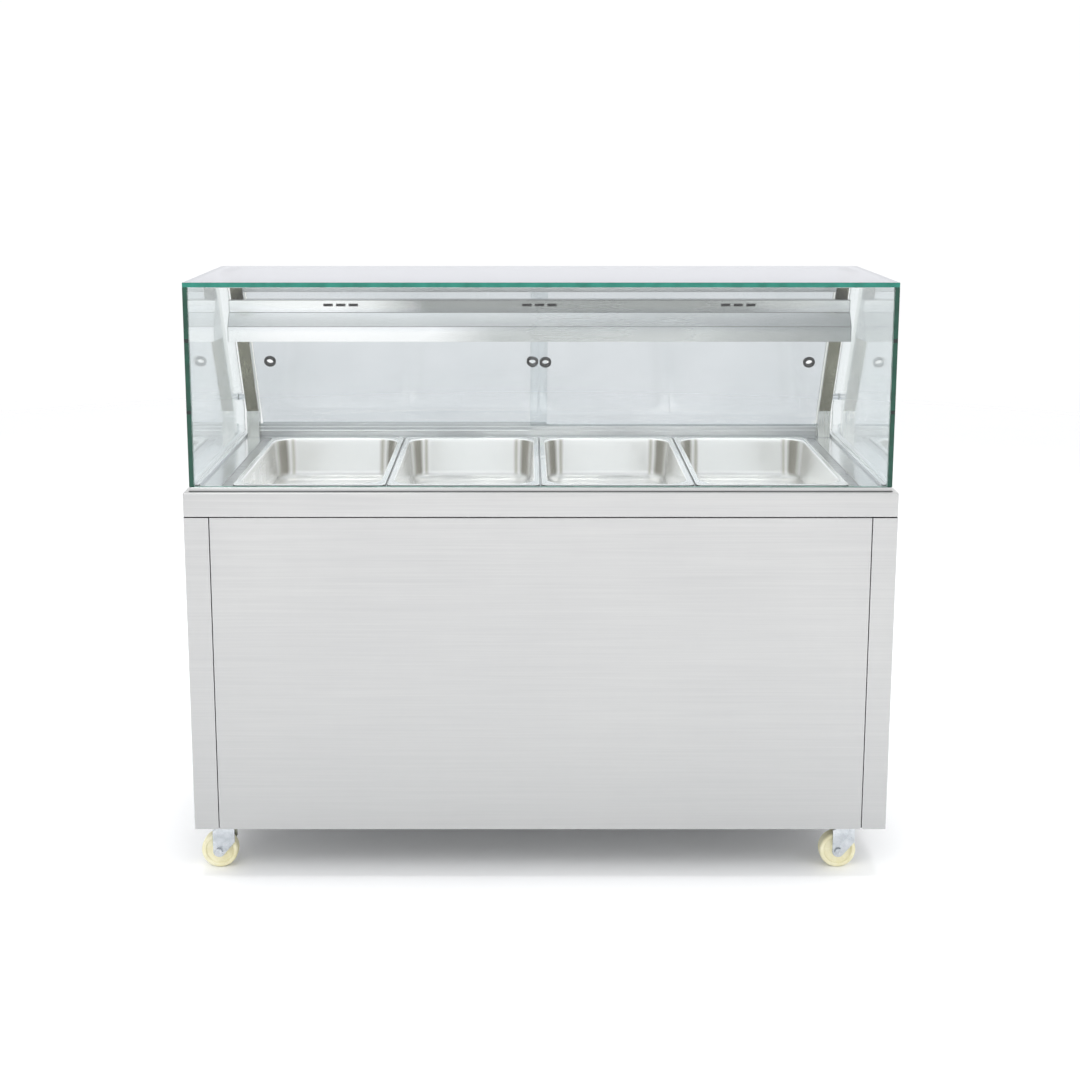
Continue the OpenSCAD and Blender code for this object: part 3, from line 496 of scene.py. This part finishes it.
def make_pan(number):
    """Pressed food pan: rolled rim, flat corner lands, drafted walls, a wide fillet and a level floor."""
    node = "pan_%d" % number
    lo, hi = box_mm(node)
    half = ((hi.x - lo.x) / 2, (hi.y - lo.y) / 2)
    middle = ((hi.x + lo.x) / 2, (hi.y + lo.y) / 2)
    top, depth, sheet = hi.z, hi.z - lo.z, 1.0
    fillet, floor_inset = 22.0, 19.5
    wall_foot = -(depth - sheet - fillet)
    # each ring is (inset from the rim's edge, rise from its top, corner radius)
    profile = [(1.0, -3.9, 13.0), (1.0, -2.2, 13.0), (1.4, -0.9, 12.6), (2.4, -0.15, 11.6), (3.6, 0.0, 12.0),
               (6.0, -0.35, 20.0), (9.0, -0.45, 34.0), (11.0, -0.3, 46.0), (12.6, -0.9, 50.0),
               (13.8, -2.2, 50.0), (14.4, -4.2, 50.0), (14.9, -10.0, 49.5), (15.6, -20.0, 48.9),
               (16.9, -40.0, 47.6), (18.3, -60.0, 46.2), (floor_inset, wall_foot, 45.0)]
    for step in range(1, 8):
        turn = math.radians(90 * step / 7)
        inward = fillet * (1 - math.cos(turn))
        profile.append((floor_inset + inward, wall_foot - fillet * math.sin(turn), 45.0 - 0.75 * inward))
    profile.append((floor_inset + fillet + 8.0, profile[-1][1] + 0.25, 24.0))
    profile.append((floor_inset + fillet + 60.0, profile[-1][1] + 0.55, 20.0))
    rings = [rounded_ring(half[0] - inset, half[1] - inset, radius, top + rise, middle)
             for inset, rise, radius in profile]
    pan = loft("food_pan_%d" % number, rings, LOOKS["pan_steel"], cap=True)
    pan.data.materials.append(CREASE_SHADE)
    # painted shade on the outer skirt of the rolled rim
    for face in pan.data.polygons[:2 * len(rings[0])]:
        face.material_index = 1
    thicken(pan, sheet * MM)
    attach(pan, node)
    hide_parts(node)


def make_countertop():
    """Folded worktop: band, rounded shoulder, raised lip and the deck round the well's cut-out."""
    lo, hi = box_mm("countertop")
    pan_lo, pan_hi = box_mm("pan_1")
    last_pan = box_mm("pan_4")[1]
    half_x, half_y = hi.x, hi.y
    beside_pans, ahead_of_pans, cut_shift = 20.5, 2.0, 0.5
    cut_x = last_pan.x + beside_pans
    cut_mid = (pan_lo.y + pan_hi.y) / 2 + cut_shift
    cut_y = (pan_hi.y - pan_lo.y) / 2 + ahead_of_pans
    shoulder, bottom, deck, lip = hi.z - 10.0, lo.z, hi.z, 12.0
    # each ring is (inset from the worktop's edge, height, corner radius)
    outer = [(14.0, bottom, 3.0), (2.2, bottom, 3.0), (0.7, bottom + 0.5, 3.0), (0.0, bottom + 1.8, 3.0),
             (0.0, shoulder - 2.4, 3.0), (0.7, shoulder - 0.7, 3.0), (2.4, shoulder, 3.0),
             (lip - 2.2, shoulder, 3.0), (lip - 0.6, shoulder + 0.6, 3.0), (lip, shoulder + 2.2, 3.0),
             (lip, deck - 2.6, 3.0), (lip + 0.8, deck - 0.8, 3.0), (lip + 2.6, deck, 3.0)]
    rings = [rounded_ring(half_x - inset, half_y - inset, radius, z) for inset, z, radius in outer]
    rings.append(rounded_ring(cut_x + 1.0, cut_y + 1.0, 6.0, deck, (0.0, cut_mid)))
    rings.append(rounded_ring(cut_x + 0.3, cut_y + 0.3, 5.3, deck - 0.3, (0.0, cut_mid)))
    rings.append(rounded_ring(cut_x, cut_y, 5.0, deck - 1.0, (0.0, cut_mid)))
    top = loft("worktop", rings, LOOKS["brushed_steel"])
    for look in (DECK, CREASE_SHADE, EDGE_HIGHLIGHT):
        top.data.materials.append(look)
    for face in top.data.polygons:
        height = face.center.z / MM
        inset = min(half_x - abs(face.center.x / MM), half_y - abs(face.center.y / MM))
        if height > deck - 0.05:
            face.material_index = 1
        # painted shade in the crease at the foot of the lip
        elif shoulder < height < shoulder + 2.2 and inset > lip - 2.2:
            face.material_index = 2
        # painted highlight on the top fold of the lip
        elif height > deck - 2.6:
            face.material_index = 3
    thicken(top, 1.5 * MM)
    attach(top, "root")
    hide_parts("countertop")


def make_screws(name, places, outward, look, radius=3.6):
    """Pan-head screws with a hexagon socket, standing on the given points in metres and facing outward."""
    spin = Vector(outward).to_track_quat("Z", "Y")
    # each ring is (radius, rise) in shares of the head's radius; the last three are the socket
    profile = [(1.0, 0.0), (1.0, 0.22), (0.90, 0.42), (0.68, 0.54), (0.44, 0.58), (0.40, 0.54),
               (0.40, 0.20)]
    socket_from, count = 4, 24
    points, faces = [], []
    for place in places:
        start = len(points)
        for level, (share, rise) in enumerate(profile):
            for step in range(count):
                turn = 2 * math.pi * step / count
                reach = share * radius
                if level >= socket_from:
                    reach *= math.cos(math.pi / 6) / math.cos(turn % (math.pi / 3) - math.pi / 6)
                local = Vector((reach * math.cos(turn), reach * math.sin(turn), rise * radius)) * MM
                points.append(Vector(place) + spin @ local)
        for level in range(len(profile) - 1):
            a, b = start + level * count, start + (level + 1) * count
            faces += [(a + i, a + (i + 1) % count, b + (i + 1) % count, b + i) for i in range(count)]
        faces.append(tuple(start + (len(profile) - 1) * count + i for i in range(count)))
    mesh = bpy.data.meshes.new(name)
    mesh.from_pydata(points, [], faces)
    mesh.materials.append(look)
    obj = bpy.data.objects.new(name, mesh)
    bpy.context.scene.collection.objects.link(obj)
    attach(obj, "root")


def screw_fascia_and_canopy():
    """Six screws on the fascia's face and two on each end of the canopy."""
    lo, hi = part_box("control_fascia")
    side, end = 16 * MM, 14 * MM
    spots = [(x, hi.y, z) for x in (lo.x + side, 0.0, hi.x - side) for z in (lo.z + end, hi.z - end)]
    make_screws("fascia_screws", spots, (0, 1, 0), LOOKS["chromed_fitting"])
    lo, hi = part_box("lamp_canopy")
    end, low_y, high_y = 18 * MM, 56 * MM, 24 * MM
    for side, name in ((-1, "left_canopy_screws"), (1, "right_canopy_screws")):
        spots = [(side * hi.x, low_y, lo.z + end), (side * hi.x, high_y, hi.z - end)]
        make_screws(name, spots, (side, 0, 0), LOOKS["chromed_fitting"], 3.0)


def make_dial():
    """Raised marks round the thermostat knob, long at every third."""
    lo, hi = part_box("thermostat_knob")
    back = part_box("control_fascia")[1].y
    middle = Vector(((lo.x + hi.x) / 2, back, (lo.z + hi.z) / 2))
    inner = (hi.x - lo.x) / 2 + 3 * MM
    marks, sweep, half_width = 13, 270, 0.5 * MM
    points, faces = [], []
    for mark in range(marks):
        turn = math.radians(sweep * (mark / (marks - 1) - 0.5))
        away = Vector((math.sin(turn), 0, math.cos(turn)))
        across = Vector((math.cos(turn), 0, -math.sin(turn))) * half_width
        length = (5 if mark % 3 == 0 else 3) * MM
        start = len(points)
        for height in (-0.1 * MM, 0.3 * MM):
            rise = Vector((0, height, 0))
            for along, sign in ((0, -1), (length, -1), (length, 1), (0, 1)):
                points.append(middle + away * (inner + along) + across * sign + rise)
        faces += [tuple(start + i for i in quad) for quad in (
            (3, 2, 1, 0), (4, 5, 6, 7), (0, 1, 5, 4), (1, 2, 6, 5), (2, 3, 7, 6), (3, 0, 4, 7))]
    mesh = bpy.data.meshes.new("dial_marks")
    mesh.from_pydata(points, [], faces)
    mesh.materials.append(LOOKS["black_plastic"])
    dial = bpy.data.objects.new("dial_marks", mesh)
    bpy.context.scene.collection.objects.link(dial)
    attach(dial, "root")


for pan_number in range(1, 5):
    make_pan(pan_number)
make_countertop()
screw_fascia_and_canopy()
make_dial()


# ---------- stage ----------

def make_floor():
    """A wide pale floor whose rim fades into the backdrop."""
    half, fade_from, fade_to = 9.0, 2.4, 8.4
    mesh = bpy.data.meshes.new("floor")
    corners = [(-half, -half, 0), (half, -half, 0), (half, half, 0), (-half, half, 0)]
    mesh.from_pydata(corners, [], [(0, 1, 2, 3)])
    floor = bpy.data.objects.new("floor", mesh)
    bpy.context.scene.collection.objects.link(floor)
    look = Look("floor")
    mottle = look.noise((1.2, 1.2, 1.2), 4.0)
    surface = look.add("BsdfPrincipled", {
        "Base Color": look.tones(mottle, (0.3, linear(250, 251, 252)), (0.7, linear(252, 253, 254))),
        "Roughness": look.spread(mottle, 0.55, 0.65), "Specular IOR Level": 0.2})
    away = look.add("VectorMath", {0: look.place}, operation="LENGTH").outputs["Value"]
    fade = look.add("MapRange", {"Value": away, "From Min": fade_from, "From Max": fade_to},
                    interpolation_type="SMOOTHERSTEP").outputs["Result"]
    gone = look.add("BsdfTransparent")
    mixed = look.add("MixShader", {0: fade, 1: surface.outputs[0], 2: gone.outputs[0]})
    mesh.materials.append(look.done(mixed))


def make_world():
    """Pale studio: even light round the horizon, with softboxes and darker gaps high above."""
    world = bpy.data.worlds.new("studio")
    world.use_nodes = True
    tree = world.node_tree
    tree.nodes.clear()
    coords = tree.nodes.new("ShaderNodeTexCoord")
    split = tree.nodes.new("ShaderNodeSeparateXYZ")
    tree.links.new(coords.outputs["Generated"], split.inputs[0])
    half = tree.nodes.new("ShaderNodeMapRange")
    half.inputs["From Min"].default_value = -1.0
    tree.links.new(split.outputs[2], half.inputs["Value"])
    ramp = tree.nodes.new("ShaderNodeValToRGB")
    tree.links.new(half.outputs[0], ramp.inputs["Fac"])
    # (height from the nadir at 0 to the zenith at 1, brightness)
    stops = ((0.0, 0.64), (0.48, 0.68), (0.68, 0.68), (0.75, 0.50), (0.80, 0.42), (0.86, 0.90), (0.94, 0.66),
             (1.0, 0.50))
    elements = ramp.color_ramp.elements
    while len(elements) < len(stops):
        elements.new(0.5)
    for element, (position, value) in zip(elements, stops):
        element.position = position
        element.color = (value, value, value * 1.005, 1.0)
    back = tree.nodes.new("ShaderNodeBackground")
    back.inputs["Strength"].default_value = 1.5
    tree.links.new(ramp.outputs["Color"], back.inputs["Color"])
    out = tree.nodes.new("ShaderNodeOutputWorld")
    tree.links.new(back.outputs[0], out.inputs["Surface"])
    bpy.context.scene.world = world


def make_light(name, place, target, size, power, mirrored=False):
    """Soft rectangular lamp of that power in watts; only a mirrored one shows in reflections."""
    data = bpy.data.lights.new(name, "AREA")
    data.shape = "RECTANGLE"
    data.size, data.size_y = size
    data.energy = power
    light = bpy.data.objects.new(name, data)
    bpy.context.scene.collection.objects.link(light)
    light.location = place
    light.rotation_euler = (Vector(target) - Vector(place)).to_track_quat("-Z", "Y").to_euler()
    light.visible_camera = False
    light.visible_transmission = False
    light.visible_glossy = mirrored


def make_camera():
    """Camera at the photograph's viewpoint, tilted and shifted so that the whole object is in the frame."""
    aside, ahead, height, tilt = -0.031, 3.155, 1.590, 9.4
    data = bpy.data.cameras.new("camera")
    camera = bpy.data.objects.new("camera", data)
    bpy.context.scene.collection.objects.link(camera)
    data.sensor_width = 36.0
    data.lens = 51.3
    data.shift_x = 0.013
    data.shift_y = -0.135
    camera.location = (aside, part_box("front_glass")[0].y - ahead, height)
    camera.rotation_euler = (math.radians(90 - tilt), 0, 0)
    data.clip_start, data.clip_end = 0.05, 60.0
    bpy.context.scene.camera = camera


make_floor()
make_world()
make_light("key", (-1.7, -2.8, 3.4), (0, 0, 0.8), (2.6, 2.0), 34, mirrored=True)
make_light("fill", (2.7, -1.8, 2.6), (0, 0, 0.7), (2.0, 2.0), 20)
make_light("rear", (0.8, 3.0, 2.8), (0, 0, 0.7), (2.6, 1.8), 22)
make_light("overhead", (0.0, -0.1, 3.3), (0, -0.05, 0.8), (2.4, 1.2), 62)
make_camera()
bpy.context.scene.view_settings.view_transform = "Standard"
